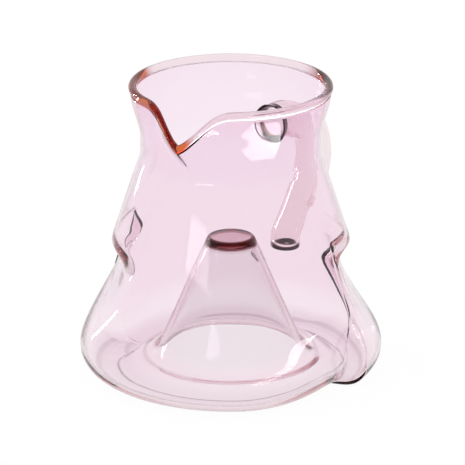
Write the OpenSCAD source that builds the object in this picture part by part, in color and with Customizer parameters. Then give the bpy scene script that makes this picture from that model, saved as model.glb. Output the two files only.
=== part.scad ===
// Glass coffee server with a V spout, two pinched hand grips, a hollow cone
// rising from the floor and a hollow tube handle hanging from the neck.
// Millimetres, +Z up. The spout points to -Y and the handle to +Y.
// The grips face +X and -X. The origin is the centre of the foot, on the table.

/* [Body] */
// Overall height over the rim bead
body_h = 120; // [104:1:170]
// Largest radius of the bell near the table
bell_r = 61.2; // [52:0.1:80]
// Height of that largest radius
bell_z = 10; // [8:0.1:14]
// How far the foot lies inside the largest radius
foot_inset = 10.2; // [8:0.1:11]
// Height where the straight shoulder leaves the bell
shoulder_z = 20; // [16:0.1:23]
// Outer radius of the straight neck
neck_r = 36.3; // [33:0.1:46]
// Height of the neck, from its crisp corner with the shoulder to the rim
neck_h = 29.5; // [26:0.1:36]
// Thickness of the blown glass wall
wall_t = 1.8; // [1.5:0.1:2.2]
// Thickness of the floor
floor_t = 2; // [1.5:0.1:2.6]

/* [Rim and spout] */
// How far the rim flares beyond the neck
rim_flare = 2.9; // [1:0.1:6]
// Radius of the round rim bead
bead_r = 1.65; // [1.3:0.05:2.2]
// How far the spout tip reaches beyond the rim
spout_reach = 6.4; // [3:0.1:9]
// How far the spout tip drops below the rim
spout_drop = 13.2; // [6:0.1:16]
// Half of the angle over which the rim dips
spout_angle = 28; // [22:1:34]

/* [Grips] */
// Height of the ledge over each grip
ledge_z = 51.5; // [44:0.5:64]
// Depth of each grip under the ledge, at its fold
grip_depth = 6.8; // [5:0.1:10]
// Depth of each grip where it is widest
waist_depth = 7.2; // [4:0.1:9]
// Depth of the dent beside each grip at the foot
foot_dent = 8.6; // [5:0.1:9]
// Angle from the spout to the fold of the first grip
fold_angle = 88.5; // [82:0.5:95]

/* [Inner cone] */
// Width of the flat floor ring between the cone and the bell
floor_ring_w = 3.5; // [2:0.1:9]
// Outer radius of the cone at its top
cone_top_r = 9.5; // [7:0.1:14]
// Height of the flat top of the cone
cone_top_z = 55.3; // [40:0.1:68]
// Thickness of the closed top of the cone
cap_t = 3.6; // [2.4:0.1:5]
// Rounding at the foot of the cone
cone_round = 2.6; // [1.8:0.1:3.2]
// Rounding of the top edge of the cone
cap_round = 1.4; // [0.8:0.1:2]

/* [Handle] */
// Outer radius of the handle tube
tube_r = 6.3; // [5:0.1:7.5]
// Thickness of the tube wall
tube_t = 1.6; // [1.2:0.1:2.2]
// Height of the tube centre above the corner of the neck
handle_rise = 3.1; // [0:0.1:8]
// Depth of the weld collar beyond the neck
collar_l = 3.4; // [2.8:0.1:5]
// Radius of the first, wide bend
first_bend_r = 40; // [30:0.5:50]
// Radius of the outer bend
outer_bend_r = 21; // [16:0.1:26]
// Radius of the bend that turns the leg back to the body
leg_bend_r = 24; // [18:0.1:30]
// Radius of the bend that sets the leg upright again
end_bend_r = 14; // [10:0.1:18]
// Height where the tube ends
leg_end_z = 31; // [26:0.1:40]
// Gap between the wall and the end of the tube
leg_gap = 3.4; // [2:0.1:8]
// Height of the thickened lip on the open end
lip_h = 2.6; // [1.8:0.1:3.4]
// Width of that lip, from its outside to the bore
lip_w = 2.9; // [2.2:0.1:3.6]
// How far the small sealed scar stands out of the tube
scar_h = 1.2; // [0.8:0.1:1.6]
// Slope of the straight run behind the neck
first_bend_angle = 20; // [14:1:28]
// How far the lower leg turns back to the body
leg_angle = 29; // [24:1:30]
// How far the lower leg leans sideways
lean_angle = 29; // [0:1:35]

/* [Hidden] */
$fn = 96;
blown_glass = [0.95, 0.85, 0.91];
thick_glass = [0.80, 0.62, 0.66];

// soft ramp from 0 to 1 while x goes from a to b
function ease(t) = let(c = min(1, max(0, t))) c*c*(3 - 2*c);
function ramp(x, a, b) = ease((x - a)/(b - a));
// curve from p to q that is tangent to both lines through the corner c
function blend(p, c, q, n) = [for (i = [0:n]) let(t = i/n) (1 - t)*(1 - t)*p + 2*t*(1 - t)*c + t*t*q];
// point at radius r and height z, at angle a from the spout
function spot(r, a, z) = [r*sin(a), -r*cos(a), z];

// round outline without the grips: flat foot, round bell, straight shoulder
neck_z = body_h - neck_h;
bell_rise = shoulder_z - bell_z;
bell_curve = (bell_r - neck_r)/(bell_rise*bell_rise + 2*bell_rise*(neck_z - shoulder_z));
shoulder_slope = 2*bell_curve*bell_rise;
slant_share = sqrt(1 + shoulder_slope*shoulder_slope);
wall_r = wall_t*slant_share;
foot_r = bell_r - foot_inset;
foot_in_share = 1.25;
foot_in_r = foot_r - foot_in_share*wall_t;
function shoulder_r(z) = neck_r + shoulder_slope*(neck_z - z);
function bell_up_r(z) = bell_r - bell_curve*(z - bell_z)*(z - bell_z);
function bell_down_r(z) = foot_r + foot_inset*sqrt(max(0, 1 - pow((bell_z - z)/bell_z, 2)));
function bell_in_r(z) =
    foot_in_r + (bell_r - wall_r - foot_in_r)*sqrt(max(0, 1 - pow((bell_z - z)/(bell_z - floor_t), 2)));
function plain_r(z) = z >= shoulder_z ? shoulder_r(z) : z >= bell_z ? bell_up_r(z) : bell_down_r(z);
function plain_in_r(z) = z >= bell_z ? plain_r(z) - wall_r : bell_in_r(max(floor_t, z));

// heights in each grip, as shares of the height of its ledge
grip_low_share = 0.4;
grip_full_share = 0.99;
roof_low_share = 1;
roof_top_share = 1.154;
waist_low_share = 0.2;
waist_full_share = 0.76;
waist_roof_share = 0.88;
waist_top_share = 1.08;
dent_low_share = 0.2;
dent_top_share = 0.68;
band_low_share = 0.48;
seam_over_share = 1.3;
lower_slope_share = 1/3;
grip_bow_share = 1.35;

// angles across each grip, measured from its fold
fold_half_angle = 1.5;
inner_shift_angle = 2.2;
fold_turn_angle = 180;
waist_start_angle = 2;
waist_angle = 26;
grip_fade_angle = 34;
grip_end_angle = 80;
dent_fade_angle = 6;
dent_end_angle = 58;

// the roof of a grip moves up by one wall inside the glass, its lower slope moves down
function fold_dip(z, lift) =
    let(low = grip_low_share*ledge_z, full = grip_full_share*ledge_z)
    let(depth = min(1, max(0, (z + lower_slope_share*lift - low)/(full - low))))
    grip_depth*pow(depth, grip_bow_share)*(1 - ramp(z - lift, roof_low_share*ledge_z, roof_top_share*ledge_z));
function waist_dip(z, lift) =
    waist_depth*ramp(z, waist_low_share*ledge_z, waist_full_share*ledge_z)
    *(1 - ramp(z - lift, waist_roof_share*ledge_z, waist_top_share*ledge_z));
function side_dip(z) = foot_dent*(1 - ramp(z, dent_low_share*ledge_z, dent_top_share*ledge_z));
function grip_dip(q, z, lift, shift_angle) =
    let(after = ramp(q + shift_angle, -fold_half_angle, fold_half_angle))
    let(before = 1 - ramp(q - shift_angle, -fold_half_angle, fold_half_angle))
    let(wide = ramp(q, waist_start_angle, waist_angle))
    after*(fold_dip(z, lift)*(1 - wide) + waist_dip(z, lift)*wide)*(1 - ramp(q, grip_fade_angle, grip_end_angle))
    + before*side_dip(z)*(1 - ramp(-q, dent_fade_angle, dent_end_angle));
// angle from the nearer fold
function from_fold(a) =
    let(m = (a - fold_angle) % fold_turn_angle)
    let(p = m < 0 ? m + fold_turn_angle : m)
    p > fold_turn_angle/2 ? p - fold_turn_angle : p;
function out_r(a, z) = plain_r(z) - grip_dip(from_fold(a), z, 0, 0);
function in_r(a, z) = plain_in_r(z) - grip_dip(from_fold(a), z, wall_t, inner_shift_angle);

// stations round the gripped walls, close together at the folds
step_angle = fold_half_angle + inner_shift_angle;
near_side = [fold_half_angle/3, fold_half_angle, inner_shift_angle + fold_half_angle/4, step_angle, 1.6*step_angle];
near_end_angle = near_side[4];
wide_count = 28;
wide_step_angle = (fold_turn_angle - 2*near_end_angle)/(wide_count + 1);
half_turn = concat([for (i = [4:-1:0]) -near_side[i]], near_side,
    [for (i = [1:wide_count]) near_end_angle + i*wide_step_angle]);
band_angles = concat([for (a = half_turn) fold_angle + a], [for (a = half_turn) fold_angle + fold_turn_angle + a]);

// closed solid from a stack of rings that runs up the outside and down the inside
module ring_solid(rings, swap = false) {
    n = len(rings[0]);
    m = len(rings);
    points = [for (ring = rings) each ring];
    faces = [for (j = [0:m - 1]) for (i = [0:n - 1])
        let(k = (i + 1) % n, l = (j + 1) % m)
        let(a = j*n + i, b = j*n + k, c = l*n + k, d = l*n + i)
        each swap ? [[a, d, b], [b, d, c]] : [[a, c, b], [a, d, c]]];
    polyhedron(points = points, faces = faces, convexity = 8);
}
// the same rings from the last to the first
function turned(list) = [for (i = [len(list) - 1:-1:0]) list[i]];

// the gripped part of the wall, between two level seams
band_top_z = roof_top_share*ledge_z + seam_over_share*wall_t;
band_low_z = band_low_share*ledge_z;
band_level_shares = [0, 0.14, 0.28, 0.42, 0.54, 0.63, 0.69, 0.735, 0.775, 0.815, 0.855, 0.895, 0.935, 1];
band_levels = [for (s = band_level_shares) band_low_z + s*(band_top_z - band_low_z)];
module grip_band() {
    color(blown_glass) ring_solid(concat(
        [for (z = band_levels) [for (a = band_angles) spot(out_r(a, z), a, z)]],
        [for (z = turned(band_levels)) [for (a = band_angles) spot(in_r(a, z), a, z)]]));
}

// the bell from the floor seam, round the foot and up to the grips
seam_r = foot_in_r - foot_dent - wall_t/4;
round_shares = [0.16, 0.32, 0.55, 0.78, 1];
rise_shares = [0.25, 0.5, 0.75, 1];
module bell_wall() {
    rise_levels = [for (s = rise_shares) bell_z + s*(band_low_z - bell_z)];
    out_levels = concat([0], [for (s = round_shares) bell_z*(1 - cos(90*s))], rise_levels);
    in_levels = concat([floor_t], [for (s = round_shares) floor_t + (bell_z - floor_t)*(1 - cos(90*s))], rise_levels);
    color(blown_glass) ring_solid(concat(
        [[for (a = band_angles) spot(seam_r, a, 0)]],
        [for (z = out_levels) [for (a = band_angles) spot(out_r(a, z), a, z)]],
        [for (z = turned(in_levels)) [for (a = band_angles) spot(in_r(a, z), a, z)]],
        [[for (a = band_angles) spot(seam_r, a, floor_t)]]));
}

module shoulder_wall() {
    color(blown_glass) rotate_extrude() polygon([
        [shoulder_r(band_top_z), band_top_z],
        [neck_r, neck_z],
        [neck_r - wall_r, neck_z],
        [shoulder_r(band_top_z) - wall_r, band_top_z]]);
}

// dip and reach of the rim at shares of the spout's half angle
dip_shares = [[0, 1], [0.107, 0.886], [0.214, 0.727], [0.321, 0.561], [0.446, 0.371],
    [0.607, 0.167], [0.786, 0.045], [1, 0]];
reach_shares = [[0, 1], [0.107, 0.9], [0.214, 0.76], [0.446, 0.46], [0.643, 0.25], [0.893, 0.07], [1.15, 0]];
function off_spout(a) = abs(a - 360*round(a/360));
function rim_dip(a) = spout_drop*lookup(off_spout(a)/spout_angle, dip_shares);
function rim_reach(a) = spout_reach*lookup(off_spout(a)/spout_angle, reach_shares);
function bead_z(a) = body_h - bead_r - rim_dip(a);
rim_r = neck_r + rim_flare;
joint_angle = asin(wall_t/(2*bead_r));
joint_drop = bead_r*cos(joint_angle);

// stations round the rim: close together at the spout and behind the handle
close_angle = 2.5;
spout_side_angle = 30;
back_side_angle = 15;
side_count = 19;
side_step_angle = (180 - spout_side_angle - back_side_angle)/(side_count + 1);
side_angles = [for (i = [1:side_count]) spout_side_angle + i*side_step_angle];
rim_angles = concat(
    [for (a = [-spout_side_angle:close_angle:spout_side_angle]) a],
    side_angles,
    [for (a = [-back_side_angle:close_angle:back_side_angle]) 180 + a],
    [for (a = turned(side_angles)) 360 - a]);

// the neck is straight at first and then flares into the bead
flare_shares = [0, 0.12, 0.24, 0.36, 0.48, 0.6, 0.72, 0.84, 1];
flare_start_share = 0.28;
spout_bow_share = 1.6;
function flare(u, low_r, top_r) = low_r + (top_r - low_r)*ramp(u, flare_start_share, 1);
function neck_top_z(a) = bead_z(a) - joint_drop;
function neck_spot(a, u, low_r, top_r) =
    spot(flare(u, low_r, top_r) + rim_reach(a)*pow(u, spout_bow_share), a, neck_z + u*(neck_top_z(a) - neck_z));
module neck_wall() {
    color(blown_glass) ring_solid(concat(
        [for (u = flare_shares) [for (a = rim_angles) neck_spot(a, u, neck_r, rim_r + wall_t/2)]],
        [for (u = turned(flare_shares)) [for (a = rim_angles) neck_spot(a, u, neck_r - wall_r, rim_r - wall_t/2)]]));
}

bead_sides = 11;
module rim_bead() {
    first_angle = joint_angle - 90;
    turn_angle = (360 - 2*joint_angle)/(bead_sides - 1);
    color(thick_glass) ring_solid([for (j = [0:bead_sides - 1]) let(t = first_angle + j*turn_angle)
        [for (a = rim_angles) spot(rim_r + rim_reach(a) + bead_r*cos(t), a, bead_z(a) + bead_r*sin(t))]], swap = true);
}

// the hollow cone: a straight wall between a soft foot and a closed top
foot_round_share = 1.6;
foot_ring_r = seam_r - floor_ring_w;
cone_foot_r = foot_ring_r - foot_round_share*cone_round;
cone_slope = (cone_foot_r - cone_top_r)/(cone_top_z - floor_t);
cone_wall_r = wall_t*sqrt(1 + cone_slope*cone_slope);
function cone_r(z) = cone_foot_r - cone_slope*(z - floor_t);
function cone_in_r(z) = cone_r(z) - cone_wall_r;
foot_ring_z = floor_t + foot_round_share*cone_round;
cap_z = cone_top_z - cap_t - cap_round;
soft_steps = 8;

module floor_plate() {
    plate_r = seam_r*cos(wide_step_angle/2);
    color(blown_glass) rotate_extrude() polygon([
        [foot_ring_r, 0], [plate_r, 0], [plate_r, floor_t], [foot_ring_r, floor_t]]);
}

module cone_foot() {
    over = blend([foot_ring_r, floor_t], [cone_foot_r, floor_t], [cone_r(foot_ring_z), foot_ring_z], soft_steps);
    under = blend([cone_in_r(foot_ring_z), foot_ring_z], [cone_in_r(0), 0], [foot_ring_r, 0], soft_steps);
    color(blown_glass) rotate_extrude() polygon(concat(over, under));
}

module cone_wall() {
    color(blown_glass) rotate_extrude() polygon([
        [cone_r(foot_ring_z), foot_ring_z],
        [cone_r(cap_z), cap_z],
        [cone_in_r(cap_z), cap_z],
        [cone_in_r(foot_ring_z), foot_ring_z]]);
}

module cone_cap() {
    under_z = cone_top_z - cap_t;
    edge_z = cone_top_z - cap_round;
    under = blend([cone_in_r(cap_z) - cap_round, under_z], [cone_in_r(under_z), under_z],
        [cone_in_r(cap_z), cap_z], soft_steps/2);
    edge = blend([cone_r(edge_z), edge_z], [cone_r(cone_top_z), cone_top_z],
        [cone_top_r - cap_round, cone_top_z], soft_steps);
    color(thick_glass) rotate_extrude() polygon(concat(
        [[0, under_z]], under, [[cone_r(cap_z), cap_z]], edge, [[0, cone_top_z]]));
}

// the handle tube runs through stations [x, z, heading], where it heads along +Z and bends to +X
function bend_run(s, r, turn_angle, n) = [for (i = [1:n])
    let(h = s[2] + turn_angle*i/n, k = sign(turn_angle)*r)
    [s[0] + k*(cos(s[2]) - cos(h)), s[1] + k*(sin(h) - sin(s[2])), h]];
function straight_run(s, length) = [s[0] + length*sin(s[2]), s[1] + length*cos(s[2]), s[2]];
function last(list) = list[len(list) - 1];
tube_sides = 24;
function tube_ring(s, r) = [for (i = [0:tube_sides - 1]) let(t = 360*i/tube_sides)
    [s[0] + r*cos(t)*cos(s[2]), r*sin(t), s[1] - r*cos(t)*sin(s[2])]];
module tube_run(stations) {
    ring_solid(concat(
        [for (s = stations) tube_ring(s, tube_r)],
        [for (s = turned(stations)) tube_ring(s, tube_r - tube_t)]));
}
module at_station(s) {
    translate([s[0], 0, s[1]]) rotate([0, s[2], 0]) children();
}

// the two straight runs are as long as it takes for the tube to end at its height and gap
handle_z = neck_z + handle_rise;
end_y = shoulder_r(leg_end_z) + leg_gap + tube_r;
bends_y = first_bend_r*sin(first_bend_angle) + outer_bend_r*(1 - sin(first_bend_angle))
    - (leg_bend_r + end_bend_r)*(1 - cos(leg_angle))*cos(lean_angle);
bends_z = first_bend_r*(1 - cos(first_bend_angle)) + outer_bend_r*cos(first_bend_angle)
    + (leg_bend_r + end_bend_r)*sin(leg_angle);
runs_y = end_y - neck_r - collar_l - bends_y;
runs_z = handle_z - leg_end_z - bends_z;
leg_in_share = sin(leg_angle)*cos(lean_angle);
runs_share = cos(first_bend_angle)*cos(leg_angle) + sin(first_bend_angle)*leg_in_share;
slope_l = (runs_y*cos(leg_angle) + runs_z*leg_in_share)/runs_share;
leg_l = (runs_z*cos(first_bend_angle) - runs_y*sin(first_bend_angle))/runs_share;

// behind the neck the tube slopes down and turns to its outermost point
first_bend = bend_run([0, 0, 0], first_bend_r, first_bend_angle, 3);
slope_end = straight_run(last(first_bend), slope_l);
arch_stations = concat([[0, 0, 0]], first_bend, [slope_end],
    bend_run(slope_end, outer_bend_r, 90 - first_bend_angle, 9));
// from there it turns back to the body, leaning sideways, and ends upright
leg_bend = bend_run([0, 0, 0], leg_bend_r, leg_angle, 4);
leg_foot = straight_run(last(leg_bend), leg_l);
leg_stations = concat([[0, 0, 0]], leg_bend, [leg_foot], bend_run(leg_foot, end_bend_r, -leg_angle, 3));
module from_neck() {
    translate([0, neck_r + collar_l, handle_z]) rotate([-90, 0, 0]) rotate([0, 0, 90]) children();
}
module from_outer_point() {
    from_neck() at_station(last(arch_stations)) rotate([0, 0, lean_angle]) children();
}

// the neck and the top of the shoulder, as one solid that the weld collar sits on
module neck_core() {
    low_z = handle_z - 2.2*tube_r;
    top_z = body_h - bead_r - joint_drop;
    rotate_extrude() polygon(concat(
        [[0, low_z], [shoulder_r(low_z), low_z]],
        [for (u = flare_shares) [flare(u, neck_r, rim_r + wall_t/2), neck_z + u*(top_z - neck_z)]],
        [[0, top_z]]));
}

module handle_root() {
    weld_w = tube_r/4;
    deep = collar_l + tube_r;
    bore_r = tube_r - tube_t;
    weld = blend([tube_r, 0], [tube_r, collar_l], [tube_r + weld_w, collar_l + weld_w], soft_steps);
    color(thick_glass) difference() {
        translate([0, neck_r + collar_l, handle_z]) rotate([90, 0, 0])
            rotate_extrude() polygon(concat([[bore_r, 0]], weld, [[tube_r + weld_w, deep], [bore_r, deep]]));
        neck_core();
    }
}

module handle_arch() {
    color(blown_glass) from_neck() tube_run(arch_stations);
}

module handle_leg() {
    color(blown_glass) from_outer_point() tube_run(leg_stations);
}

module handle_lip() {
    bore_r = tube_r - tube_t;
    inside_r = tube_r - lip_w;
    middle_r = (inside_r + tube_r)/2;
    middle_z = lip_h/2;
    rounded = concat(
        blend([tube_r, 0], [tube_r, lip_h], [middle_r, lip_h], soft_steps),
        blend([middle_r, lip_h], [inside_r, lip_h], [inside_r, middle_z], soft_steps),
        blend([inside_r, middle_z], [inside_r, 0], [bore_r, 0], soft_steps));
    color(thick_glass) from_outer_point() at_station(last(leg_stations)) rotate_extrude() polygon(rounded);
}

// a shallow dome on the straight run of the leg
scar_turn_angle = 217;
scar_place_share = 0.23;
scar_wide_share = 0.42;
module handle_scar() {
    scar_r = scar_wide_share*tube_r;
    scar_place = scar_r + scar_place_share*(leg_l - 2*scar_r);
    sunk = tube_r - sqrt(tube_r*tube_r - scar_r*scar_r);
    dome = blend([scar_r, -sunk], [scar_r, scar_h], [0, scar_h], soft_steps);
    color(thick_glass) from_outer_point() at_station(last(leg_bend)) rotate([0, 0, scar_turn_angle]) difference() {
        translate([tube_r, 0, scar_place]) rotate([0, 90, 0])
            rotate_extrude() polygon(concat([[0, -sunk - scar_h], [scar_r, -sunk - scar_h]], dome));
        cylinder(r = tube_r, h = leg_l);
    }
}

rim_bead();
neck_wall();
shoulder_wall();
grip_band();
bell_wall();
floor_plate();
cone_foot();
cone_wall();
cone_cap();
handle_root();
handle_arch();
handle_leg();
handle_lip();
handle_scar();
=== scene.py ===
"""Looks of the pink glass coffee server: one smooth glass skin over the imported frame."""

import math

import bpy
import numpy as np
from mathutils import Euler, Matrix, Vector


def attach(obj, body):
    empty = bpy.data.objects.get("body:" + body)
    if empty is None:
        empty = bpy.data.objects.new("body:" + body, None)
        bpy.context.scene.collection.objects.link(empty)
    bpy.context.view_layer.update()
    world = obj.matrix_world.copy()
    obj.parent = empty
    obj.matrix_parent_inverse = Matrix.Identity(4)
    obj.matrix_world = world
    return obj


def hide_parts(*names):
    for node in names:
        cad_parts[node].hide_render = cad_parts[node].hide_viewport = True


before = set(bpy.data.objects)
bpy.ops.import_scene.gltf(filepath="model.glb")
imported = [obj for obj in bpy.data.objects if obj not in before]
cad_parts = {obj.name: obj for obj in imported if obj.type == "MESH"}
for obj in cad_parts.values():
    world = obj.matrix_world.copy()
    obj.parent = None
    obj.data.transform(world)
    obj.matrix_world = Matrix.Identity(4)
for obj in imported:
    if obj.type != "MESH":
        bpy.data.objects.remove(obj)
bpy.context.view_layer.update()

MM = 0.001

# sizes of the body, in millimetres
BODY_H = 120.0
BELL_R = 61.2
BELL_Z = 10.0
FOOT_INSET = 10.2
SHOULDER_Z = 20.0
NECK_R = 36.3
NECK_Z = 90.5
WALL_T = 1.8
SKIN_T = 1.1
SKIN_FLOOR = 1.3
FOOT_SKIN_SHARE = 1.25
FLOOR_T = 2.0
FLOOR_RING_W = 4.8
FLOOR_RISE = 4.5
STEP_R = 46.0
SEAM_WALL_SHARE = 1.5
SEAM_CLEARANCE = 0.3
PAST_SEAM = (1.0, 0.5)

# rim and spout
RIM_FLARE = 2.9
FLARE_START_SHARE = 0.28
BEAD_R = 1.65
BEAD_GAP = 0.25
SPOUT_REACH = 6.4
SPOUT_DROP = 13.2
REACH_POWER = 1.6
WALL_END_SHARES = (-0.6, -0.2, 0.2, 0.6)

# pinched grips; where they start, rise and fade is given in shares of the ledge's height
LEDGE_Z = 51.5
LEDGE_FADE_SHARES = (1, 1.154)
BAND_TOP_WALL_SHARE = 1.3
GRIP_DEPTH = 6.8
GRIP_START_SHARE = 0.4
GRIP_RISE_SHARE = 0.59
GRIP_POWER = 1.35
LIFT_DIVISOR = 3
WAIST_DEPTH = 7.2
WAIST_RISE_SHARES = (0.2, 0.76)
WAIST_FADE_SHARES = (0.88, 1.08)
FOOT_DENT = 8.6
DENT_FADE_SHARES = (0.2, 0.68)

# inner cone
CONE_TOP_R = 9.5
CONE_TOP_Z = 55.3
CAP_T = 3.6
CONE_ROUND = 3.0
FOOT_BLEND_SHARE = 1.6
CAP_ROUND = 1.4
CAP_TOP_SHARES = (0.3, 1)
CAP_UNDER_SHARES = (0.75, 0.5, 0.25)

# handle tube
TUBE_R = 6.3
TUBE_T = 1.6
HANDLE_Z = 93.6
COLLAR_L = 3.4
WELD_FLARE = TUBE_R / 8
WELD_SINK = 0.5
WELD_SHARES = (0.25, 0.5, 0.75, 0.97)
FIRST_BEND_R = 40.0
FIRST_BEND_ANGLE = 20.0
SLOPE_L = 12.0
OUTER_BEND_R = 21.0
LEG_BEND_R = 24.0
LEG_ANGLE = 29.0
END_BEND_R = 14.0
LEAN_ANGLE = 29.0
LEG_END_Z = 31.0
TUBE_END = 0.01
TUBE_END_ROUND = 0.1
LIP_GAP = 0.06
LIP_H = 1.8
LIP_W = 2.9

# directions and spans round the body, in degrees
SPOUT_ANGLE = 28.0
FOLD_ANGLE = 88.5
FOLD_HALF_ANGLE = 1.5
SKIN_SHIFT = 1.3
WAIST_ANGLES = (2, 26)
GRIP_FADE_ANGLES = (34, 80)
DENT_FADE_ANGLES = (6, 58)
SEAM_FADE_ANGLES = (3, 34)

# degrees between the points of a ring: everywhere, beside the folds and round the spout
PLAIN_SPACING = 2.0
FOLD_SPACING = 0.4
FOLD_SPREAD = 6
SPOUT_SPACING = 0.8
SPOUT_SPREAD = 20
LEAST_SPACING = 0.3
ANGLE_OVERRUN = 0.01
ANGLE_DIGITS = 3

# rings along each stretch of the skins, and points round each small ring
BLEND_STEPS = 8
CAP_TOP_RINGS = 4
CAP_UNDER_STEPS = 5
CONE_OUT_RINGS = 16
CONE_IN_RINGS = 14
FLOOR_RINGS = 11
FOOT_RINGS = 13
BELL_RINGS = 9
BAND_RINGS = 44
BAND_FROM_Z = 24
SHOULDER_RINGS = 12
NECK_RINGS = 26
BEAD_POINTS = 24
TUBE_POINTS = 48
LIP_STEPS = 7

# round outline without the grips
BELL_RISE = SHOULDER_Z - BELL_Z
BELL_CURVE = (BELL_R - NECK_R) / (BELL_RISE**2 + 2 * BELL_RISE * (NECK_Z - SHOULDER_Z))
SHOULDER_SLOPE = 2 * BELL_CURVE * BELL_RISE
SKIN_R = SKIN_T * math.hypot(1, SHOULDER_SLOPE)
FOOT_R = BELL_R - FOOT_INSET
FOOT_IN_R = FOOT_R - FOOT_SKIN_SHARE * SKIN_T
RIM_R = NECK_R + RIM_FLARE
BAND_TOP_Z = LEDGE_FADE_SHARES[1] * LEDGE_Z + BAND_TOP_WALL_SHARE * WALL_T
SEAM_R = FOOT_R - SEAM_WALL_SHARE * WALL_T - FOOT_DENT
FOOT_RING_R = SEAM_R - FLOOR_RING_W
CONE_FOOT_R = FOOT_RING_R - FOOT_BLEND_SHARE * CONE_ROUND
CONE_Z = FLOOR_T + FLOOR_RISE
CONE_RING_Z = CONE_Z + FOOT_BLEND_SHARE * CONE_ROUND
CAP_EDGE_Z = CONE_TOP_Z - CAP_ROUND
CAP_UNDER_Z = CONE_TOP_Z - CAP_T
CAP_START_Z = CAP_UNDER_Z - CAP_ROUND
CONE_SLOPE = (CONE_FOOT_R - CONE_TOP_R) / (CONE_TOP_Z - CONE_Z)
CONE_WALL = WALL_T * math.hypot(1, CONE_SLOPE)

# colour that one pass through a wall takes on where the glass is seen face on
WALL_TINT = (0.967, 0.898, 0.949)
NECK_TINT = (0.958, 0.858, 0.943)
FLOOR_TINT = (1.0, 0.98, 1.0)
FOOT_TINT = (0.90, 0.84, 0.885)
CONE_TINT = (0.955, 0.99, 0.99)
CAP_TINT = (0.80, 0.62, 0.68)
# painted shade: the nearly black crescent at the side of the cone's cap
CAP_SIDE_TINT = (0.10, 0.0003, 0.0002)
HANDLE_TINT = (0.972, 0.955, 0.96)
BEAD_TINT = (0.95, 0.88, 0.92)
# painted light and shade: the lip's orange along the left of the spout and its dark red round the right end
BEAD_ORANGE = (0.58, 0.05, 0.004)
BEAD_DARK = (0.18, 0.001, 0.001)

# the same where it is seen edge on: painted shade, darker in place of the dark edges that the glass shows
# there
WALL_EDGE = (0.46, 0.40, 0.48)
# painted shade in the folds' creases, and low at the folds near the table
FOLD_EDGE = (0.36, 0.15, 0.12)
LOW_FOLD_EDGE = (0.36, 0.05, 0.02)
# painted light and shade: red at the rim where the light that runs inside the wall comes out
RIM_EDGE = (0.36, 0.06, 0.02)
CONE_EDGE = (0.24, 0.10, 0.11)
# painted shade in the hollow under the cone and where the floor meets the table
FOOT_EDGE = (0.12, 0.07, 0.09)
HANDLE_EDGE = (0.80, 0.60, 0.66)
BEAD_EDGE = (0.30, 0.02, 0.004)
BEAD_PALE = (0.66, 0.56, 0.64)

# thin darker lines of the floor and the spot at the cone's foot, as painted shade; the ring under the lip,
# as painted light and shade; and the tube's lip, as painted shade
LINE_TINT = (0.12, 0.08, 0.09)
RING_TINT = (0.62, 0.55, 0.60)
OUTLINE_TINT = (0.50, 0.42, 0.47)
SPOT_TINT = (0.06, 0.0006, 0.0006)
RIM_PALE = (0.95, 0.84, 0.90)
RIM_AMBER = (0.8, 0.05, 0.0)
RIM_DARK = (0.30, 0.012, 0.006)
LIP_TINT = (0.02, 0.004, 0.003)

# heights and radii between which the colours change, in millimetres
CONE_LIMIT_R = 37.5
CONE_LIMIT_Z = CONE_TOP_Z + 0.1
CONE_FADE_Z = (5, 11)
CONE_EDGE_FADE_Z = (8, 14)
CAP_FADE_Z = (CAP_UNDER_Z - 0.6, CAP_UNDER_Z + 0.3)
CAP_SIDE_FADE_R = (CONE_TOP_R - 1.2, CONE_TOP_R - 0.4)
CAP_SIDE_FADE_Z = (CONE_TOP_Z - 2.3, CONE_TOP_Z - 1.7)
FLOOR_FADE_Z = (8, 22)
NECK_FADE_Z = (84, 96)
RIM_FADE_Z = (98, 106)
FOLD_START_Z = (26, 36)
FOLD_END_Z = (60, 66)
LOW_FOLD_FADE_Z = (10, 18)
LOW_FOLD_R = 38
FOOT_FADE_R = (35.2, 37)
FOOT_FADE_Z = (1.5, 6)
FOOT_EDGE_FADE_Z = (1.5, 4)
FOOT_RING_LIMIT_R = FOOT_RING_R + 1
FOOT_RING_FADE_Z = (8, 12)

# radius, width and highest point of the floor's thin lines of painted shade, and the place and radii of the
# painted dark spot
RING_LINE = (FOOT_RING_R, 0.5, FLOOR_RISE + 0.3)
SEAM_LINE_W = 0.35
SEAM_LINE_TOP = 0.4
OUTLINE = (54.4, 1.2, 1.1)
SPOT = (28.3, 14.4, 6.9)
SPOT_FADE = (1.2, 3.0)

# degrees over which the folds' painted shade fades, and between which the rim is painted red with painted
# light and shade
FOLD_FADE_ANGLES = (8, 24)
LOW_FOLD_FADE_ANGLES = (8, 20)
LEFT_RED_START = (-99, -87)
LEFT_RED_END = (3, 9)
RIGHT_RED_START = (100, 110)
RIGHT_RED_END = (136, 158)
BEAD_INNER_COSINES = (0.1, 0.7)

# the glass itself: what it reflects, where its painted shade at the edges starts, its ripples and its depth
# of colour
IOR = 1.47
REFLECTION_TINT = (0.15, 0.15, 0.15, 1)
EDGE_BLEND = 0.5
EDGE_REACH = (0.7, 0.97)
BEAD_EDGE_REACH = (0.4, 0.7)
RIPPLE_SCALE = 4.0
RIPPLE_DETAIL = 1.0
RIPPLE_STRENGTH = 0.12
RIPPLE_DEPTH = 0.001
ABSORB = (0.66, 0.25, 0.31)
ABSORB_DENSITY = 60.0
LIP_ROUGHNESS = 0.03
RIM_EDGE_ROUGHNESS = 0.4
BOUNCES = 48

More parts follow.
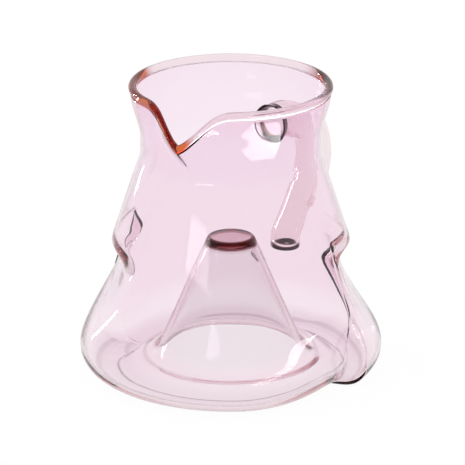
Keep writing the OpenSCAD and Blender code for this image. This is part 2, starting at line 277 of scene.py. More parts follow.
# studio, in metres and degrees
CAMERA_TURN = 27.0
CAMERA_PITCH = 19.4
CAMERA_DISTANCE = 1.580
CAMERA_Z = 0.613
CAMERA_CLIP = 20.0
IMAGE_PX = 465
FOCAL_PX = 4155.0
AXIS_PX = 230.8
SENSOR_MM = 36.0
FLOOR_SIZE = 6.0
FLOOR_DROP = 0.0001
FLOOR_SHADE = (0.97, 0.97, 0.97, 1)
FLOOR_WHITE_SHARE = 0.965
CARD_HALF_W = 2.6
CARD_LOW_Z = 0.15
CARD_HIGH_Z = 3.2
CARD_DISTANCE = 2.3
CARD_SHADE = (0.02, 0.02, 0.02, 1)
WHITE = (1, 1, 1, 1)

# name, azimuth, elevation, distance, width, height and power of each lamp
LAMPS = [
    ("left_strip", -107, 5.0, 0.9, 0.03, 0.50, 3.0),
    ("shoulder_patch", -4, 14, 0.35, 0.13, 0.026, 0.13),
    ("cone_streak", -33, 21, 1.2, 0.19, 0.04, 0.75),
]
PANEL_TURN = 65
PANEL_Z = 0.004
PANEL = ("neck_patch", PANEL_TURN, 0, 0.178, 0.115, 0.12, 1.1)


def ramp(x, a, b):
    """Soft step from 0 to 1 while x goes from a to b."""
    t = np.clip((np.asarray(x, float) - a) / (b - a), 0, 1)
    return t * t * (3 - 2 * t)


def blend(p, c, q, n):
    """Curve from p to q that is tangent to both lines through the corner c."""
    p, c, q = (np.asarray(v, float) for v in (p, c, q))
    return [(1 - t) ** 2 * p + 2 * t * (1 - t) * c + t * t * q for t in np.linspace(0, 1, n + 1)]


def plain_out(z):
    """Outer radius of the body without its grips."""
    straight = NECK_R + SHOULDER_SLOPE * (NECK_Z - z)
    bell = BELL_R - BELL_CURVE * (z - BELL_Z) ** 2
    low = FOOT_R + FOOT_INSET * math.sqrt(max(0, 1 - ((BELL_Z - z) / BELL_Z) ** 2))
    return straight if z >= SHOULDER_Z else bell if z >= BELL_Z else low


def plain_in(z):
    """Inner radius of the body without its grips."""
    if z >= BELL_Z:
        return plain_out(z) - SKIN_R
    reach = BELL_R - SKIN_R - FOOT_IN_R
    return FOOT_IN_R + reach * math.sqrt(max(0, 1 - ((BELL_Z - z) / (BELL_Z - SKIN_FLOOR)) ** 2))


def past_fold(angles):
    """Degrees past the nearer fold, from -90 to 90."""
    return (angles - FOLD_ANGLE + 90) % 180 - 90


def ledge_ramp(z, shares):
    """Soft step between two shares of the ledge's height."""
    return ramp(z, shares[0] * LEDGE_Z, shares[1] * LEDGE_Z)


def grip_dip(angles, z, lift, shift):
    """Depth of both grips at one height, round the body.

    On the inner skin the ledge is lifted and both dips reach a little across the fold, so that the wall
    stays whole."""
    past = past_fold(angles)
    rise = (z + lift / LIFT_DIVISOR - GRIP_START_SHARE * LEDGE_Z) / (GRIP_RISE_SHARE * LEDGE_Z)
    fold = GRIP_DEPTH * min(1, max(0, rise)) ** GRIP_POWER * (1 - ledge_ramp(z - lift, LEDGE_FADE_SHARES))
    waist = WAIST_DEPTH * ledge_ramp(z, WAIST_RISE_SHARES) * (1 - ledge_ramp(z - lift, WAIST_FADE_SHARES))
    dent = FOOT_DENT * (1 - ledge_ramp(z, DENT_FADE_SHARES))
    after = ramp(past + shift, -FOLD_HALF_ANGLE, FOLD_HALF_ANGLE)
    before = 1 - ramp(past - shift, -FOLD_HALF_ANGLE, FOLD_HALF_ANGLE)
    wide = ramp(past, *WAIST_ANGLES)
    dip = after * (fold * (1 - wide) + waist * wide) * (1 - ramp(past, *GRIP_FADE_ANGLES))
    return dip + before * dent * (1 - ramp(-past, *DENT_FADE_ANGLES))


# shares of the spout's drop and reach, against shares of its angle from its middle
DIP_SHARES = [(0, 1), (0.107, 0.886), (0.214, 0.727), (0.321, 0.561), (0.446, 0.371),
              (0.607, 0.167), (0.786, 0.045), (1, 0)]
REACH_SHARES = [(0, 1), (0.107, 0.9), (0.214, 0.76), (0.446, 0.46), (0.643, 0.25), (0.893, 0.07), (1.15, 0)]


def soft_table(x, table):
    """Smooth curve through a short table, level where the table ends."""
    xs = np.array([p[0] for p in table], float)
    ys = np.array([p[1] for p in table], float)
    slopes = np.gradient(ys, xs)
    slopes[-1] = 0
    x = np.clip(x, xs[0], xs[-1])
    k = np.clip(np.searchsorted(xs, x, side="right") - 1, 0, len(xs) - 2)
    h = xs[k + 1] - xs[k]
    t = (x - xs[k]) / h
    return ((2 * t**3 - 3 * t**2 + 1) * ys[k] + (t**3 - 2 * t**2 + t) * h * slopes[k]
            + (3 * t**2 - 2 * t**3) * ys[k + 1] + (t**3 - t**2) * h * slopes[k + 1])


def from_spout(angles):
    """Degrees from the spout's middle, from -180 to 180."""
    return (angles + 180) % 360 - 180


def fine_angles(middle, spread, spacing):
    """Closely spaced angles on both sides of one direction."""
    steps = np.arange(-spread, spread + ANGLE_OVERRUN, spacing)
    return set(np.round((middle + steps) % 360, ANGLE_DIGITS))


def round_angles():
    """Stations round the body, close at the spout and at both folds."""
    angles = set(np.arange(0, 360, PLAIN_SPACING))
    for fold in (FOLD_ANGLE, FOLD_ANGLE + 180):
        angles |= fine_angles(fold, FOLD_SPREAD, FOLD_SPACING)
    angles |= fine_angles(0, SPOUT_SPREAD, SPOUT_SPACING)
    kept = []
    for a in sorted(angles):
        if not kept or a - kept[-1] > LEAST_SPACING:
            kept.append(a)
    return np.array(kept)


def floor_seam(angles):
    """Radius at which the raised floor comes down to the table, drawn in beside both folds."""
    past = past_fold(angles)
    near = np.where(past < 0, 1 - ramp(-past, *DENT_FADE_ANGLES), 1 - ramp(past, *SEAM_FADE_ANGLES))
    return STEP_R - (STEP_R - SEAM_R - SEAM_CLEARANCE) * near


ANGLES = round_angles()
SPOUT_SHARES = np.abs(from_spout(ANGLES)) / SPOUT_ANGLE
REACH = SPOUT_REACH * soft_table(SPOUT_SHARES, REACH_SHARES)
BEAD_Z = BODY_H - BEAD_R - SPOUT_DROP * soft_table(SPOUT_SHARES, DIP_SHARES)
JOIN_ANGLE = math.asin(WALL_T / (2 * BEAD_R))
FLOOR_SEAM_R = floor_seam(ANGLES)


def level_ring(radius, z):
    """Radius and height of a level ring, at each station round the body."""
    return np.broadcast_to(radius, ANGLES.shape), np.full(ANGLES.shape, float(z))


def ring_points(radius, z):
    """Points of one ring round the body."""
    turn = np.radians(ANGLES)
    return np.stack([radius * np.sin(turn), -radius * np.cos(turn), z], -1)


def inner_rings(heights):
    """Rings up the inner skin of the wall."""
    return [level_ring(plain_in(z) - grip_dip(ANGLES, z, SKIN_T, SKIN_SHIFT), z) for z in heights]


def outer_rings(heights):
    """Rings along the outer skin of the wall."""
    return [level_ring(plain_out(z) - grip_dip(ANGLES, z, 0, 0), z) for z in heights]


def neck_rings(shares, low_r, top_r):
    """Rings of the neck, which leans out to the rim and into the trough of the spout."""
    top_z = BEAD_Z - BEAD_R * math.cos(JOIN_ANGLE) - BEAD_GAP
    return [(low_r + (top_r - low_r) * ramp(u, FLARE_START_SHARE, 1) + REACH * u**REACH_POWER,
             NECK_Z + u * (top_z - NECK_Z)) for u in shares]


def rim_rings():
    """Rings of the wall's end, which follows the round lip at a small gap."""
    rings = []
    for share in WALL_END_SHARES:
        drop = math.sqrt((BEAD_R + BEAD_GAP) ** 2 - (share * WALL_T / 2) ** 2)
        rings.append((RIM_R + REACH + share * WALL_T / 2, BEAD_Z - drop))
    return rings


def cone_out(z):
    """Outer radius of the inner cone."""
    return CONE_FOOT_R - CONE_SLOPE * (z - CONE_Z)


def cone_in(z):
    """Inner radius of the inner cone."""
    return cone_out(z) - CONE_WALL


def cone_top_rings():
    """Rings from the middle of the cone's top down its outside to the floor."""
    top_r = CONE_TOP_R - CAP_ROUND
    flat = [(r, CONE_TOP_Z) for r in np.linspace(*CAP_TOP_SHARES, CAP_TOP_RINGS) * top_r]
    edge = blend((top_r, CONE_TOP_Z), (cone_out(CONE_TOP_Z), CONE_TOP_Z),
                 (cone_out(CAP_EDGE_Z), CAP_EDGE_Z), BLEND_STEPS)
    side = [(cone_out(z), z) for z in np.linspace(CAP_EDGE_Z, CONE_RING_Z, CONE_OUT_RINGS)]
    foot = blend((cone_out(CONE_RING_Z), CONE_RING_Z), (CONE_FOOT_R, CONE_Z),
                 (FOOT_RING_R, CONE_Z), BLEND_STEPS)
    return [level_ring(r, z) for r, z in flat + edge[1:] + side[1:] + foot[1:]]


def cone_under_rings():
    """Rings from the floor's underside up the inside of the cone to the middle of its cap."""
    foot = blend((FOOT_RING_R, FLOOR_RISE), (cone_in(FLOOR_RISE), FLOOR_RISE),
                 (cone_in(CONE_RING_Z), CONE_RING_Z), BLEND_STEPS)
    side = [(cone_in(z), z) for z in np.linspace(CONE_RING_Z, CAP_START_Z, CONE_IN_RINGS)]
    end_r = cone_in(CAP_START_Z) - CAP_ROUND
    corner = blend((cone_in(CAP_START_Z), CAP_START_Z), (cone_in(CAP_UNDER_Z), CAP_UNDER_Z),
                   (end_r, CAP_UNDER_Z), CAP_UNDER_STEPS)
    flat = [(share * end_r, CAP_UNDER_Z) for share in CAP_UNDER_SHARES]
    return [level_ring(r, z) for r, z in foot + side[1:] + corner[1:] + flat]


def floor_ring(u, thickness):
    """Ring of the floor at a share of the way from the cone's foot to the seam."""
    z = thickness + FLOOR_RISE * (1 - float(ramp(u, 0, 1)))
    return level_ring(FOOT_RING_R + (FLOOR_SEAM_R - FOOT_RING_R) * u, z)


def body_rings():
    """Rings from the top of the inner cone, round both skins and the rim, to the underside of the cone."""
    steps = np.linspace(0, 1, FLOOR_RINGS)[1:]
    rounding = 1 - np.array([math.cos(math.radians(t)) for t in np.linspace(0, 90, FOOT_RINGS)])
    low_in = list(SKIN_FLOOR + (BELL_Z - SKIN_FLOOR) * rounding)
    low_out = list(BELL_Z * rounding)
    walls = list(np.linspace(BELL_Z, BAND_FROM_Z, BELL_RINGS)[1:])
    walls += list(np.linspace(BAND_FROM_Z, BAND_TOP_Z, BAND_RINGS)[1:])
    walls += list(np.linspace(BAND_TOP_Z, NECK_Z, SHOULDER_RINGS)[1:-1])
    shares = np.linspace(0, 1, NECK_RINGS)
    rings = cone_top_rings()
    rings += [floor_ring(u, FLOOR_T + (SKIN_FLOOR - FLOOR_T) * u) for u in steps]
    rings += inner_rings(low_in + walls)
    rings += neck_rings(shares, NECK_R - SKIN_R, RIM_R - WALL_T / 2)
    rings += rim_rings()
    rings += neck_rings(shares[::-1], NECK_R, RIM_R + WALL_T / 2)
    rings += outer_rings((low_out + walls)[::-1])
    rings += [level_ring(FLOOR_SEAM_R + past, 0) for past in PAST_SEAM]
    rings += [floor_ring(u, 0) for u in steps[::-1]]
    return rings + cone_under_rings()


def red_shares(angles):
    """Where the rim is painted red, as painted light and shade of the light that runs inside the wall: along
    the left of the spout, and round its right end.
    """
    turn = from_spout(angles)
    left = ramp(turn, *LEFT_RED_START) * (1 - ramp(turn, *LEFT_RED_END))
    right = ramp(turn, *RIGHT_RED_START) * (1 - ramp(turn, *RIGHT_RED_END))
    return left, right


def plain_colours(colour, count):
    """The same colour for each point."""
    return np.tile(np.array(colour), (count, 1))


def toward(colours, colour, share):
    """Moves the colours towards another one by a share for each point."""
    return colours + (np.array(colour) - colours) * share[:, None]


def thin_line(r, z, radius, width, top):
    """Share of a thin round line on the floor for each point."""
    return np.exp(-((r - radius) / width) ** 2) * (z < top)


def tint_points(piece, layer_name, colours):
    """Stores one colour for each point of the skin."""
    layer = piece.data.color_attributes.new(layer_name, "FLOAT_COLOR", "POINT")
    layer.data.foreach_set("color", np.concatenate([colours, np.ones((len(colours), 1))], 1).ravel())


def mesh_piece(name, verts, faces):
    """A smooth piece of the server that rides on its one body."""
    mesh = bpy.data.meshes.new(name)
    mesh.from_pydata([tuple(v) for v in verts], [], faces)
    mesh.validate()
    mesh.polygons.foreach_set("use_smooth", [True] * len(mesh.polygons))
    piece = bpy.data.objects.new(name, mesh)
    bpy.context.scene.collection.objects.link(piece)
    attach(piece, "root")
    return piece


def ring_faces(count, n, closed=False):
    """Quads between neighbouring rings of n points."""
    faces = []
    for j in range(count if closed else count - 1):
        k = (j + 1) % count
        for i in range(n):
            m = (i + 1) % n
            faces.append((j * n + i, k * n + i, k * n + m, j * n + m))
    return faces


def closed_piece(name, rings):
    """A piece whose last ring is joined to its first."""
    faces = ring_faces(len(rings), len(rings[0]), closed=True)
    return mesh_piece(name, np.concatenate(rings) * MM, faces)


def body_tints(x, y, z, r, cone, seam_r):
    """Colour of each point of the body where the glass is seen face on, with painted shade at the cap's
    side, in thin lines on the floor and in a spot at the cone's foot.
    """
    cap = cone * ramp(z, *CAP_FADE_Z)
    cap_side = cap * ramp(r, *CAP_SIDE_FADE_R) * ramp(z, *CAP_SIDE_FADE_Z)
    from_spot = np.hypot(np.hypot(x - SPOT[0], y - SPOT[1]), z - SPOT[2])
    tints = plain_colours(WALL_TINT, len(z))
    tints = toward(tints, FLOOR_TINT, 1 - ramp(z, *FLOOR_FADE_Z))
    tints = toward(tints, NECK_TINT, ramp(z, *NECK_FADE_Z))
    tints = toward(tints, CONE_TINT, cone * ramp(z, *CONE_FADE_Z))
    tints = toward(tints, CAP_TINT, cap)
    # painted shade: nearly black crescent at the side of the cap
    tints = toward(tints, CAP_SIDE_TINT, cap_side)
    tints = toward(tints, FOOT_TINT, ramp(r, *FOOT_FADE_R) * (1 - ramp(z, *FOOT_FADE_Z)))
    # painted shade: thin darker lines on the floor and a dark spot at the cone's foot
    tints = toward(tints, RING_TINT, thin_line(r, z, *RING_LINE))
    tints = toward(tints, LINE_TINT, thin_line(r, z, seam_r, SEAM_LINE_W, SEAM_LINE_TOP))
    tints = toward(tints, OUTLINE_TINT, thin_line(r, z, *OUTLINE))
    return toward(tints, SPOT_TINT, (1 - ramp(from_spot, *SPOT_FADE)) * (r < FOOT_RING_LIMIT_R))


def body_edges(angles, z, r, cone):
    """Colour of each point of the body where the glass is seen edge on: painted shade, darkest at the folds,
    the hollow and where the floor meets the table, and painted red at the rim.
    """
    past = np.abs(past_fold(angles))
    # painted shade: dark along the folds' creases, and dark red low at the folds
    fold = (1 - ramp(past, *FOLD_FADE_ANGLES)) * ramp(z, *FOLD_START_Z) * (1 - ramp(z, *FOLD_END_Z))
    low_fold = (1 - ramp(past, *LOW_FOLD_FADE_ANGLES)) * (1 - ramp(z, *LOW_FOLD_FADE_Z)) * (r > LOW_FOLD_R)
    left, right = red_shares(angles)
    edges = plain_colours(WALL_EDGE, len(z))
    edges = toward(edges, FOLD_EDGE, fold)
    # painted light and shade: red at the rim where the light that runs inside the wall comes out
    edges = toward(edges, RIM_EDGE, ramp(z, *RIM_FADE_Z) * np.maximum(left, right))
    edges = toward(edges, CONE_EDGE, cone * ramp(z, *CONE_EDGE_FADE_Z))
    # painted shade: nearly black in the hollow under the cone and where the floor meets the table
    edges = toward(edges, FOOT_EDGE, (r < FOOT_RING_LIMIT_R) * (1 - ramp(z, *FOOT_RING_FADE_Z)))
    edges = toward(edges, FOOT_EDGE, (r > STEP_R) * (1 - ramp(z, *FOOT_EDGE_FADE_Z)))
    return toward(edges, LOW_FOLD_EDGE, low_fold)


def build_body():
    """Wall, floor and inner cone as one closed skin."""
    rings = body_rings()
    count, n = len(rings), len(ANGLES)
    top, under = count * n, count * n + 1
    ends = [[0, 0, CONE_TOP_Z], [0, 0, CAP_UNDER_Z]]
    verts = np.concatenate([ring_points(r, z) for r, z in rings] + [ends]) * MM
    faces = ring_faces(count, n)
    for i in range(n):
        m = (i + 1) % n
        faces.append((top, i, m))
        faces.append((under, (count - 1) * n + m, (count - 1) * n + i))
    body = mesh_piece("glass_body", verts, faces)
    angles = np.append(np.tile(ANGLES, count), [0] * len(ends))
    seam_r = np.append(np.tile(FLOOR_SEAM_R, count), [0] * len(ends))
    r = np.hypot(verts[:, 0], verts[:, 1]) / MM
    x, y, z = verts.T / MM
    cone = (r < CONE_LIMIT_R) & (z < CONE_LIMIT_Z)
    tint_points(body, "edge", body_edges(angles, z, r, cone))
    tint_points(body, "tint", body_tints(x, y, z, r, cone, seam_r))
    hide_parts("neck_wall", "shoulder_wall", "grip_band", "bell_wall",
                "floor_plate", "cone_foot", "cone_wall", "cone_cap")
    return body


def build_bead():
    """The round fire-polished lip, as a ring of its own on the end of the wall."""
    turns = np.linspace(2 * math.pi, 0, BEAD_POINTS, endpoint=False)
    rings = [ring_points(RIM_R + REACH + BEAD_R * math.cos(t), BEAD_Z + BEAD_R * math.sin(t)) for t in turns]
    bead = closed_piece("glass_bead", rings)
    # painted light and shade: the lip is painted orange along the left of the spout and dark red round its
    # right end
    left, right = red_shares(np.tile(ANGLES, len(rings)))
    inner = np.repeat(1 - ramp(np.cos(turns), *BEAD_INNER_COSINES), len(ANGLES))
    tints = toward(plain_colours(BEAD_TINT, len(inner)), BEAD_ORANGE, left * inner)
    tint_points(bead, "tint", toward(tints, BEAD_DARK, right * inner))
    edges = plain_colours(BEAD_PALE, len(inner))
    tint_points(bead, "edge", toward(edges, BEAD_EDGE, np.maximum(left, right)))
    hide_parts("rim_bead")
    return bead


# outline of the ring under the lip: share of half the wall's width, and gap to the lip
RIM_EDGE_OUTLINE = [(-1.5, 0.04), (-0.9, 0.2), (-0.3, 0.2), (0.3, 0.2), (0.9, 0.2),
                    (1.5, 0.04), (0.7, 0.04), (0.3, 0.04), (-0.3, 0.04), (-0.7, 0.04)]


def build_rim_edge():
    """Thin ring between the lip and the wall's end, painted with the light that has run inside the wall and
    comes out there.

    It is painted light and shade: amber along the left of the spout, dark red round the right end and pale
    elsewhere."""
    rings = []
    for share, gap in RIM_EDGE_OUTLINE:
        shift = share * WALL_T / 2
        rings.append(ring_points(RIM_R + REACH + shift, BEAD_Z - math.sqrt((BEAD_R + gap) ** 2 - shift**2)))
    ring = closed_piece("rim_edge", rings)
    left, right = red_shares(np.tile(ANGLES, len(rings)))
    colours = toward(plain_colours(RIM_PALE, len(left)), RIM_AMBER, left)
    tint_points(ring, "tint", toward(colours, RIM_DARK, right))
    return ring


def bend(start, radius, turn, steps):
    """Stations (offset, run, heading) round a bend of the tube's centre line, in the plane of the bend."""
    offset, run, heading = start
    k = math.copysign(radius, turn)
    h0 = math.radians(heading)
    stations = []
    for i in range(1, steps + 1):
        h = math.radians(heading + turn * i / steps)
        stations.append((offset + k * (math.cos(h0) - math.cos(h)), run + k * (math.sin(h) - math.sin(h0)),
                         math.degrees(h)))
    return stations


def straight(start, length, steps):
    """Stations (offset, run, heading) along a straight stretch of the tube's centre line."""
    offset, run, heading = start
    h = math.radians(heading)
    return [(offset + length * i / steps * math.sin(h), run + length * i / steps * math.cos(h), heading)
            for i in range(1, steps + 1)]


def handle_stations():
    """Centre line of the handle tube: its arch from the weld collar, and its leg to the open end."""
    arch = bend((0, 0, 0), FIRST_BEND_R, FIRST_BEND_ANGLE, steps=8)
    arch += straight(arch[-1], SLOPE_L, steps=4)
    arch += bend(arch[-1], OUTER_BEND_R, 90 - FIRST_BEND_ANGLE, steps=20)
    lean = math.radians(LEG_ANGLE)
    drop = HANDLE_Z - arch[-1][0] - LEG_END_Z - (LEG_BEND_R + END_BEND_R) * math.sin(lean)
    leg = bend((0, 0, 0), LEG_BEND_R, LEG_ANGLE, steps=8)
    leg += straight(leg[-1], drop / math.cos(lean), steps=8)
    leg += bend(leg[-1], END_BEND_R, -LEG_ANGLE, steps=6)
    return arch, leg


def handle_frames():
    """Centre and two cross axes of the tube at each station, in millimetres."""
    arch, leg = handle_stations()
    frames = []
    start = np.array([0, NECK_R + COLLAR_L, HANDLE_Z])
    for offset, run, heading in [(0, 0, 0)] + arch:
        h = math.radians(heading)
        across = np.array([0, -math.sin(h), -math.cos(h)])
        frames.append((start + np.array([0, run, -offset]), across, np.array([-1.0, 0, 0])))
    base = frames[-1][0]
    lean = math.radians(LEAN_ANGLE)
    inward = np.array([-math.sin(lean), -math.cos(lean), 0])
    side = np.array([-math.cos(lean), math.sin(lean), 0])
    for offset, run, heading in leg:
        h = math.radians(heading)
        across = inward * math.cos(h) + np.array([0, 0, math.sin(h)])
        centre = base + inward * offset + np.array([0, 0, -run])
        frames.append((centre, across * math.cos(lean) - side * math.sin(lean),
                       across * math.sin(lean) + side * math.cos(lean)))
    return frames


HANDLE_FRAMES = handle_frames()
TO_NECK = np.array([0, -1.0, 0])
DOWN = np.array([0, 0, -1.0])


def tube_ring(centre, u, v, radius):
    """Points round the tube at one station."""
    turn = np.linspace(2 * math.pi, 0, TUBE_POINTS, endpoint=False)
    return centre + radius * (np.cos(turn)[:, None] * u + np.sin(turn)[:, None] * v)


def neck_radius(z):
    """Outer radius of the shoulder and the neck away from the spout."""
    if z < NECK_Z:
        return NECK_R + SHOULDER_SLOPE * (NECK_Z - z)
    u = (z - NECK_Z) / (BODY_H - BEAD_R - BEAD_R * math.cos(JOIN_ANGLE) - NECK_Z)
    return NECK_R + (RIM_FLARE + WALL_T / 2) * float(ramp(u, FLARE_START_SHARE, 1))


def seat_on_neck(points):
    """Moves the points that lie deeper in the neck out to just under its outer face."""
    for p in points:
        wall = neck_radius(p[2]) - WELD_SINK
        if math.hypot(p[0], p[1]) < wall:
            p[1] = math.sqrt(max(0, wall * wall - p[0] * p[0]))


def build_lip():
    """The fire-polished lip of the tube, as a ring of its own round the open end."""
    centre, u, v = HANDLE_FRAMES[-1]
    inside = TUBE_R - LIP_W
    middle = (TUBE_R + inside) / 2
    half = LIP_H / 2
    sides = [(middle, LIP_GAP), (TUBE_R, half), (middle, LIP_H), (inside, half)]
    corners = [(TUBE_R, LIP_GAP), (TUBE_R, LIP_H), (inside, LIP_H), (inside, LIP_GAP)]
    outline = []
    for side, corner, next_side in zip(sides, corners, sides[1:] + sides[:1]):
        outline += blend(side, corner, next_side, LIP_STEPS)[:-1]
    rings = [tube_ring(centre + DOWN * depth, u, v, r) for r, depth in outline]
    lip = closed_piece("glass_lip", rings)
    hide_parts("handle_lip")
    return lip


def build_handle():
    """One closed skin: outside of the tube, round its open end, up the bore and back at the weld."""
    start, u, v = HANDLE_FRAMES[0]
    bore = TUBE_R - TUBE_T
    depth = COLLAR_L + WELD_FLARE
    weld = blend((TUBE_R, 0), (TUBE_R, COLLAR_L), (TUBE_R + WELD_FLARE, depth), BLEND_STEPS)
    rings = [tube_ring(start + TO_NECK * way, u, v, r) for r, way in weld[::-1]]
    rings += [tube_ring(*station, TUBE_R) for station in HANDLE_FRAMES[1:]]
    centre, end_u, end_v = HANDLE_FRAMES[-1]
    for r in (TUBE_R - TUBE_END_ROUND, bore + TUBE_END_ROUND):
        rings.append(tube_ring(centre + DOWN * TUBE_END, end_u, end_v, r))
    rings += [tube_ring(*station, bore) for station in HANDLE_FRAMES[::-1]]
    for share in WELD_SHARES:
        rings.append(tube_ring(start + TO_NECK * depth * share, u, v, bore + share * TUBE_T))
    for points in rings:
        seat_on_neck(points)
    piece = closed_piece("glass_handle", rings)
    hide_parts("handle_root", "handle_arch", "handle_leg")
    return piece


def new_material(name):
    """A material and its shader."""
    mat = bpy.data.materials.new(name)
    mat.use_nodes = True
    return mat, mat.node_tree.nodes["Principled BSDF"]


def stored_colour(nodes, layer_name):
    """The colour stored on the points of the skin."""
    layer = nodes.new("ShaderNodeAttribute")
    layer.attribute_name = layer_name
    return layer.outputs["Color"]


def glass(name, tint=None, edge=None, reach=EDGE_REACH):
    """Clear glass: tinted skin, painted darker as painted shade where it is seen edge on, and colour that
    deepens with thickness.

    Without a tint and an edge colour of its own it takes the ones stored on the points of the skin."""
    mat, shader = new_material(name)
    nodes, links = mat.node_tree.nodes, mat.node_tree.links
    shader.inputs["Transmission Weight"].default_value = 1.0
    shader.inputs["Roughness"].default_value = 0.0
    shader.inputs["Specular Tint"].default_value = REFLECTION_TINT
    shader.inputs["IOR"].default_value = IOR
    # painted shade: the base colour turns from the tint to the darker edge colour where the glass is seen
    # edge on
    facing = nodes.new("ShaderNodeLayerWeight")
    facing.inputs["Blend"].default_value = EDGE_BLEND
    share = nodes.new("ShaderNodeMapRange")
    share.interpolation_type = "SMOOTHSTEP"
    share.inputs["From Min"].default_value = reach[0]
    share.inputs["From Max"].default_value = reach[1]
    links.new(facing.outputs["Facing"], share.inputs["Value"])
    mix = nodes.new("ShaderNodeMix")
    mix.data_type = "RGBA"
    links.new(share.outputs["Result"], mix.inputs["Factor"])
    for side, colour, layer_name in (("A", tint, "tint"), ("B", edge, "edge")):
        if colour is None:
            links.new(stored_colour(nodes, layer_name), mix.inputs[side])
        else:
            mix.inputs[side].default_value = (*colour, 1)
    links.new(mix.outputs["Result"], shader.inputs["Base Color"])
    noise = nodes.new("ShaderNodeTexNoise")
    noise.inputs["Scale"].default_value = RIPPLE_SCALE
    noise.inputs["Detail"].default_value = RIPPLE_DETAIL
    bump = nodes.new("ShaderNodeBump")
    bump.inputs["Strength"].default_value = RIPPLE_STRENGTH
    bump.inputs["Distance"].default_value = RIPPLE_DEPTH
    links.new(noise.outputs["Fac"], bump.inputs["Height"])
    links.new(bump.outputs["Normal"], shader.inputs["Normal"])
    volume = nodes.new("ShaderNodeVolumeAbsorption")
    volume.inputs["Color"].default_value = (*ABSORB, 1)
    volume.inputs["Density"].default_value = ABSORB_DENSITY
    links.new(volume.outputs["Volume"], nodes["Material Output"].inputs["Volume"])
    return mat


def rim_edge_material():
    """Painted light: colours of the light that has run a long way inside the wall, as stored on the points.
    """
    mat, shader = new_material("painted_light_rim_edge")
    mat.node_tree.links.new(stored_colour(mat.node_tree.nodes, "tint"), shader.inputs["Base Color"])
    shader.inputs["Roughness"].default_value = RIM_EDGE_ROUGHNESS
    return mat


def dark_glass():
    """Nearly black material for the tube's lip: painted shade where the lip looks dark."""
    mat, shader = new_material("painted_shade_lip")
    shader.inputs["Base Color"].default_value = (*LIP_TINT, 1)
    shader.inputs["Roughness"].default_value = LIP_ROUGHNESS
    shader.inputs["IOR"].default_value = IOR
    return mat


def paint(piece, mat):
    """Gives a piece its only material."""
    piece.data.materials.clear()
    piece.data.materials.append(mat)


def backdrop_colour(nodes, links, plain, shown, strength=1.0):
    """Mixes the plain shader with a white one that the camera, mirrors and glass see."""
    path = nodes.new("ShaderNodeLightPath")
    seen = path.outputs["Is Camera Ray"]
    for ray in ("Is Glossy Ray", "Is Transmission Ray"):
        either = nodes.new("ShaderNodeMath")
        either.operation = "MAXIMUM"
        links.new(seen, either.inputs[0])
        links.new(path.outputs[ray], either.inputs[1])
        seen = either.outputs[0]
    share = nodes.new("ShaderNodeMath")
    share.operation = "MULTIPLY"
    share.inputs[1].default_value = strength
    links.new(seen, share.inputs[0])
    mix = nodes.new("ShaderNodeMixShader")
    links.new(share.outputs[0], mix.inputs[0])
    links.new(plain, mix.inputs[1])
    links.new(shown, mix.inputs[2])
    return mix.outputs[0]


def flat_sheet(name, corners, mat):
    """A sheet of the studio with four corners."""
    mesh = bpy.data.meshes.new(name)
    mesh.from_pydata(corners, [], [(0, 1, 2, 3)])
    mesh.materials.append(mat)
    sheet = bpy.data.objects.new(name, mesh)
    bpy.context.scene.collection.objects.link(sheet)
    return sheet


def build_floor():
    """White floor that takes the server's shadow."""
    mat, shader = new_material("white_floor")
    nodes, links = mat.node_tree.nodes, mat.node_tree.links
    nodes.remove(shader)
    matt = nodes.new("ShaderNodeBsdfDiffuse")
    matt.inputs["Color"].default_value = FLOOR_SHADE
    glow = nodes.new("ShaderNodeEmission")
    glow.inputs["Color"].default_value = WHITE
    out = backdrop_colour(nodes, links, matt.outputs[0], glow.outputs[0], FLOOR_WHITE_SHARE)
    links.new(out, nodes["Material Output"].inputs["Surface"])
    s = FLOOR_SIZE
    floor = flat_sheet("floor", [(-s, -s, 0), (s, -s, 0), (s, s, 0), (-s, s, 0)], mat)
    floor.location.z = -FLOOR_DROP


def build_dark_card():
    """Dark wall of the studio behind the photographer, which only reflections show."""
    mat, shader = new_material("dark_cloth")
    shader.inputs["Base Color"].default_value = CARD_SHADE
    turn = math.radians(CAMERA_TURN)
    middle = Vector((math.sin(turn), -math.cos(turn), 0)) * CARD_DISTANCE
    across = Vector((math.cos(turn), math.sin(turn), 0)) * CARD_HALF_W
    left, right = middle - across, middle + across
    low, high = Vector((0, 0, CARD_LOW_Z)), Vector((0, 0, CARD_HIGH_Z))
    card = flat_sheet("dark_card", [left + low, right + low, right + high, left + high], mat)
    card.visible_camera = False
    card.visible_diffuse = False
    card.visible_transmission = False
    card.visible_shadow = False


def build_world():
    """White studio that lights the server evenly."""
    world = bpy.data.worlds.new("studio")
    world.use_nodes = True
    bpy.context.scene.world = world
    nodes, links = world.node_tree.nodes, world.node_tree.links
    ground = nodes["Background"]
    ground.inputs["Color"].default_value = WHITE
    ground.inputs["Strength"].default_value = 1.0
    shown = nodes.new("ShaderNodeBackground")
    shown.inputs["Color"].default_value = WHITE
    out = backdrop_colour(nodes, links, ground.outputs[0], shown.outputs[0])
    links.new(out, nodes["World Output"].inputs["Surface"])


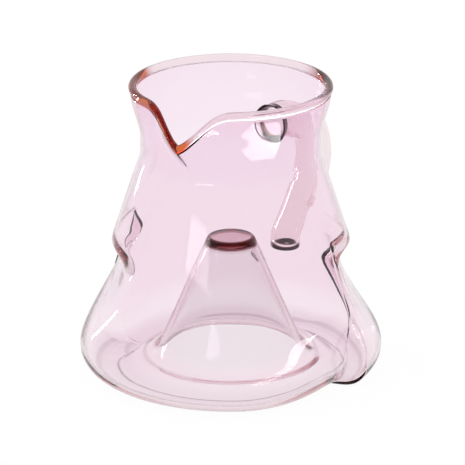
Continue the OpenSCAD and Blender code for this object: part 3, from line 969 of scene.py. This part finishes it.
def build_camera():
    """The photograph's view, turned to the right of the spout and looking down."""
    turn, pitch = math.radians(CAMERA_TURN), math.radians(CAMERA_PITCH)
    data = bpy.data.cameras.new("camera")
    data.sensor_width = SENSOR_MM
    data.lens = data.sensor_width * FOCAL_PX / IMAGE_PX
    data.shift_x = (IMAGE_PX / 2 - AXIS_PX) / IMAGE_PX
    data.clip_end = CAMERA_CLIP
    camera = bpy.data.objects.new("camera", data)
    camera.location = (CAMERA_DISTANCE * math.sin(turn), -CAMERA_DISTANCE * math.cos(turn), CAMERA_Z)
    camera.rotation_euler = Euler((math.pi / 2 - pitch, 0, turn))
    bpy.context.scene.collection.objects.link(camera)
    bpy.context.scene.camera = camera


def lamp(name, azimuth, elevation, distance, width, height, power):
    """A soft rectangular light that faces the middle of the server."""
    data = bpy.data.lights.new(name, "AREA")
    data.shape = "RECTANGLE"
    data.size, data.size_y = width, height
    data.energy = power
    obj = bpy.data.objects.new(name, data)
    a, e = math.radians(azimuth), math.radians(elevation)
    middle = Vector((0, 0, BODY_H * MM / 2))
    way = Vector((math.sin(a) * math.cos(e), -math.cos(a) * math.cos(e), math.sin(e)))
    obj.location = middle + way * distance
    obj.rotation_euler = way.to_track_quat("Z", "Y").to_euler()
    bpy.context.scene.collection.objects.link(obj)
    return obj


def build_lamps():
    """Lamps that face the server, and a panel beside it that shines up from the floor."""
    for settings in LAMPS:
        lamp(*settings)
    panel = lamp(*PANEL)
    panel.location.z = PANEL_Z
    panel.visible_transmission = False
    panel.rotation_euler = Euler((math.pi, 0, math.radians(PANEL_TURN)))


build_camera()
build_floor()
build_world()
build_dark_card()
body = build_body()
bead = build_bead()
rim_edge = build_rim_edge()
lip = build_lip()
handle = build_handle()
paint(body, glass("pink_glass"))
paint(bead, glass("pink_rim_glass", reach=BEAD_EDGE_REACH))
tube_glass = glass("pink_tube_glass", HANDLE_TINT, HANDLE_EDGE)
# painted shade: the tube's lip is painted nearly black
paint(lip, dark_glass())
# painted light and shade: the ring under the lip
paint(rim_edge, rim_edge_material())
paint(handle, tube_glass)
paint(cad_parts["handle_scar"], tube_glass)
build_lamps()
scene = bpy.context.scene
scene.view_settings.view_transform = "Standard"
scene.cycles.max_bounces = BOUNCES
scene.cycles.transmission_bounces = BOUNCES
scene.cycles.glossy_bounces = BOUNCES
